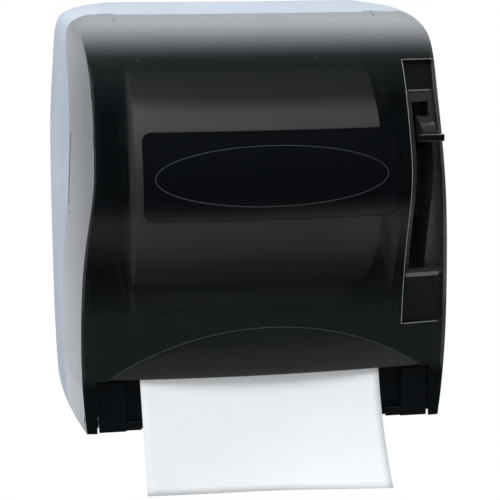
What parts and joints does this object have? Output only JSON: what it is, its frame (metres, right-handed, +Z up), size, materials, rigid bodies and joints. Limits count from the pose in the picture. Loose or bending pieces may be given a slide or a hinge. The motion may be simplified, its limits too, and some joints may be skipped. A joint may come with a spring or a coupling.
{
  "type": "lever roll towel dispenser",
  "caption": "Wall-mounted case with a bowed smoked cover, a side lever that feeds paper towel from a roll through geared rollers, and a toothed tear bar over the open lower front.",
  "frame": {"origin": "middle of the four wall screw holes, on the wall plane", "axes": "-Y points to the user, +X to the user's right, +Z up; the wall is Y = 0"},
  "size_m": [0.3398, 0.2515, 0.4115],
  "materials": {
    "case_grey": "light texture",
    "cover_smoke": "tinted, glossy",
    "tray_black": "fine texture",
    "frame_grey": "satin",
    "guide_black": "glossy",
    "lever_black": "glossy",
    "gear_white": "moulded",
    "arm_grey": "satin",
    "latch_black": "satin",
    "steel": "brushed",
    "zinc_screw": "bright",
    "rubber_black": "ground",
    "roller_grey": "satin",
    "board": "matt",
    "paper_white": "matt"
  },
  "bodies": {
    "housing": {"rear_housing": "case_grey", "lower_tray": "tray_black", "front_guard": "tray_black", "right_frame": "frame_grey", "left_frame": "frame_grey", "lever_guide": "guide_black", "tear_bar": "steel", "hinge_pins": "steel", "lever_shaft": "steel", "feed_bushes": "roller_grey", "arm_pins": "steel", "hub_right": "arm_grey", "arm_bracket": "steel", "arm_post": "steel", "frame_screws": "zinc_screw", "towel_web": "paper_white", "towel_sheet": "paper_white", "pressure_springs": "steel", "latch_springs": "steel", "lever_spring": "steel"},
    "cover": {"cover": "cover_smoke"},
    "lever": {"lever_arm": "lever_black", "lever_grip": "lever_black", "gear_sector": "gear_white"},
    "feed": {"feed_shaft": "steel", "feed_core": "roller_grey", "feed_tyres": "rubber_black", "pinion": "gear_white"},
    "pressure_cradle": {"pressure_arm": "arm_grey"},
    "pressure_roll": {"pressure_roller": "roller_grey", "pressure_shaft": "steel"},
    "roll": {"towel_roll": "paper_white", "roll_core": "board"},
    "roll_arm": {"roll_arm_left": "arm_grey", "hub_left": "arm_grey"},
    "latch_left": {"latch_left": "latch_black"},
    "latch_right": {"latch_right": "latch_black"}
  },
  "joints": [
    {"name": "cover_hinge", "type": "hinge", "parent": "housing", "child": "cover", "pos_m": [0, -0.20097, -0.158], "axis": [1, 0, 0], "range_deg": [0, 95]},
    {"name": "lever_pivot", "type": "hinge", "parent": "housing", "child": "lever", "pos_m": [0, -0.1, 0.022], "axis": [1, 0, 0], "range_deg": [0, 40], "stiffness_Nm_per_rad": 0.8, "springref_deg": -34.38, "deforming": ["lever_spring"]},
    {"name": "feed_turn", "type": "hinge", "parent": "housing", "child": "feed", "pos_m": [0, -0.18977, -0.09168], "axis": [1, 0, 0], "continuous": true},
    {"name": "pressure_arm_tilt", "type": "hinge", "parent": "housing", "child": "pressure_cradle", "pos_m": [0, -0.19197, -0.14], "axis": [-1, 0, 0], "range_deg": [0, 6], "stiffness_Nm_per_rad": 2, "springref_deg": -17.19, "deforming": ["pressure_springs"]},
    {"name": "pressure_turn", "type": "hinge", "parent": "pressure_cradle", "child": "pressure_roll", "pos_m": [0, -0.17486, -0.11297], "axis": [1, 0, 0], "continuous": true},
    {"name": "roll_turn", "type": "hinge", "parent": "housing", "child": "roll", "pos_m": [0, -0.115, 0.028], "axis": [1, 0, 0], "continuous": true},
    {"name": "roll_arm_swing", "type": "hinge", "parent": "housing", "child": "roll_arm", "pos_m": [-0.114, -0.012, 0.028], "axis": [0, 0, -1], "range_deg": [0, 12], "stiffness_Nm_per_rad": 1.5, "springref_deg": -11.46},
    {"name": "latch_left_slide", "type": "slide", "parent": "housing", "child": "latch_left", "axis": [1, 0, 0], "range_m": [0, 0.004], "stiffness_N_per_m": 300, "springref_m": -0.004, "deforming": ["latch_springs"]},
    {"name": "latch_right_slide", "type": "slide", "parent": "housing", "child": "latch_right", "axis": [-1, 0, 0], "range_m": [0, 0.004], "stiffness_N_per_m": 300, "springref_m": -0.004}
  ],
  "couplings": [
    {"joint": "feed_turn", "follows": "lever_pivot", "ratio": -8.65},
    {"joint": "pressure_turn", "follows": "lever_pivot", "ratio": 15.378},
    {"joint": "roll_turn", "follows": "lever_pivot", "ratio": -1.4122}
  ]
}
